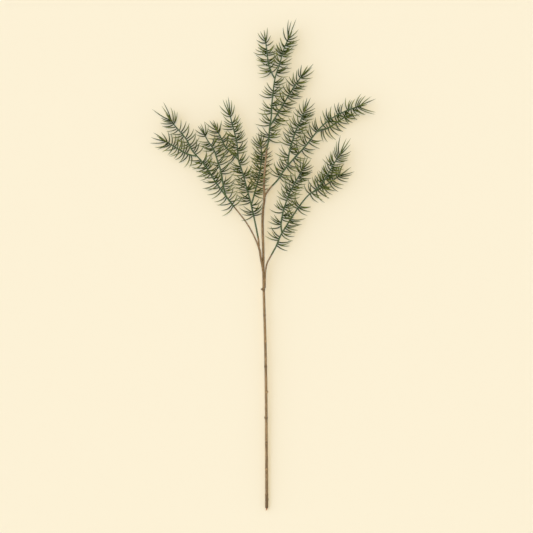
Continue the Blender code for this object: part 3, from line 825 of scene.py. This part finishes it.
def build_main_stem(shift, bark):
    """The main stem, with rings that swell and change shade, stubs, and painted shade in the gap
    where the outer right stalk leaves it.
    """
    route = Route(MAIN_ROUTE)
    places = [FIRST_RING + RING_SPACING * i for i in range(len(RING_SHADES))]
    rings = []
    alongs = []
    shades = []
    for distance in spaced(0.0, MAIN_STEM_LENGTH, BARK_STEP):
        swell = sum(bump(distance, place, RING_HALF_LENGTH) for place in places)
        radius = radius_at(MAIN_PROFILE, distance) + RING_SWELL * swell
        stubs = [
            (side, length * bump(distance, place, STUB_HALF_LENGTH))
            for place, side, length in STUBS
        ]
        rings.append(bark_ring(route, distance, radius, MAIN_RELIEF, stubs=stubs))
        alongs.append(distance / MAIN_STEM_LENGTH)
        shades += main_shades(distance, places)
    skin = Skin()
    skin.add_rings(rings, alongs)
    skin.tint = shades
    hand_over(skin, "main_stem", shift, [bark])


def build_stalk(name, points, length, profile, seed, shift, bark):
    """A brown stalk, with finer ridges than the main stem's and one shade all along."""
    route = Route(points)
    rings = [
        bark_ring(route, distance, radius_at(profile, distance), STALK_RELIEF, seed)
        for distance in spaced(0.0, length + STALK_OVERLAP, BARK_STEP)
    ]
    skin = Skin()
    skin.add_rings(rings, [STALK_COLOUR_PLACE] * len(rings))
    hand_over(skin, name, shift, [bark])


def build_wire(shift, copper):
    """The stub of core wire, with its outer end cut at a slant."""
    route = Route(MAIN_ROUTE)
    heading, _, _ = route.axes(0.0)
    places = (-WIRE_STANDS_OUT, 0.0, WIRE_SEAT)
    rings = [bark_ring(route, place, WIRE_RADIUS, WIRE_RELIEF) for place in places]
    cut = [WIRE_SLANT / 2 * math.cos(angle) for angle in ring_angles(BARK_SIDES)]
    rings[0] = [point + heading * step for point, step in zip(rings[0], cut)]
    skin = Skin()
    skin.add_rings(rings, (0.0, 0.5, 1.0))
    hand_over(skin, "core_wire", shift, [copper])


# The surface, the light and the camera.


def build_surface():
    reach = SURFACE_REACH
    corners = [(-reach, -reach, 0), (reach, -reach, 0), (reach, reach, 0), (-reach, reach, 0)]
    mesh = bpy.data.meshes.new("surface")
    mesh.from_pydata(corners, [], [(0, 1, 2, 3)])
    material, _, shader = new_material("cream_surface", SURFACE_FINISH)
    shader.inputs["Base Color"].default_value = (*SURFACE_COLOUR, 1.0)
    mesh.materials.append(material)
    new_object("surface", mesh)


def add_lamps():
    for name, heading, spread, strength, colour in LAMPS:
        light = bpy.data.lights.new(name, "SUN")
        light.angle = math.radians(spread)
        light.energy = strength
        light.color = colour
        lamp = new_object(name, light)
        lamp.rotation_euler = Vector(heading).to_track_quat("-Z", "Y").to_euler()


def add_room():
    """The room's own light. The camera and reflections see an even backdrop in its place."""
    world = bpy.data.worlds.new("room")
    world.use_nodes = True
    tree = world.node_tree
    rays = tree.nodes.new("ShaderNodeLightPath")
    seen = rays.outputs["Is Camera Ray"]
    for kind in ("Is Glossy Ray", "Is Transmission Ray"):
        either = add_node(tree, "ShaderNodeMath", operation="MAXIMUM")
        tree.links.new(seen, either.inputs[0])
        tree.links.new(rays.outputs[kind], either.inputs[1])
        seen = either.outputs["Value"]
    way = tree.nodes.new("ShaderNodeTexCoord")
    parts = tree.nodes.new("ShaderNodeSeparateXYZ")
    tree.links.new(way.outputs["Generated"], parts.inputs["Vector"])
    room = ramp(tree, parts.outputs["Z"], ROOM_COLOURS)
    colour = mixed(tree, "MIX", seen, room, BACKDROP_COLOUR)
    tree.links.new(colour, tree.nodes["Background"].inputs["Color"])
    bpy.context.scene.world = world
    bpy.context.scene.view_settings.view_transform = "Standard"


def place_camera():
    data = bpy.data.cameras.new("camera")
    data.lens = data.sensor_width * CAMERA_PLACE[2] / VIEW_WIDTH
    camera = new_object("camera", data)
    camera.location = CAMERA_PLACE
    bpy.context.scene.camera = camera


def main():
    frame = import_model()
    cad_low, cad_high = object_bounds()
    # From the routes' axes to the model's, in metres.
    shift = (
        cad_low.x - LEFTMOST_TIP * MILLIMETRE,
        cad_high.y - HIGHEST_TIP * MILLIMETRE,
        cad_low.z,
    )
    place_camera()
    add_lamps()
    add_room()
    build_surface()
    bark = bark_material()
    green = [shoot_material(), needle_material()]
    for name in SHOOTS:
        build_shoot(name, frame["nodes"], shift, green)
    build_main_stem(shift, bark)
    for i, (name, points, length, profile) in enumerate(STALKS, start=1):
        build_stalk(name, points, length, profile, STALK_SEED_STEP * i, shift, bark)
    build_wire(shift, copper_material())


main()
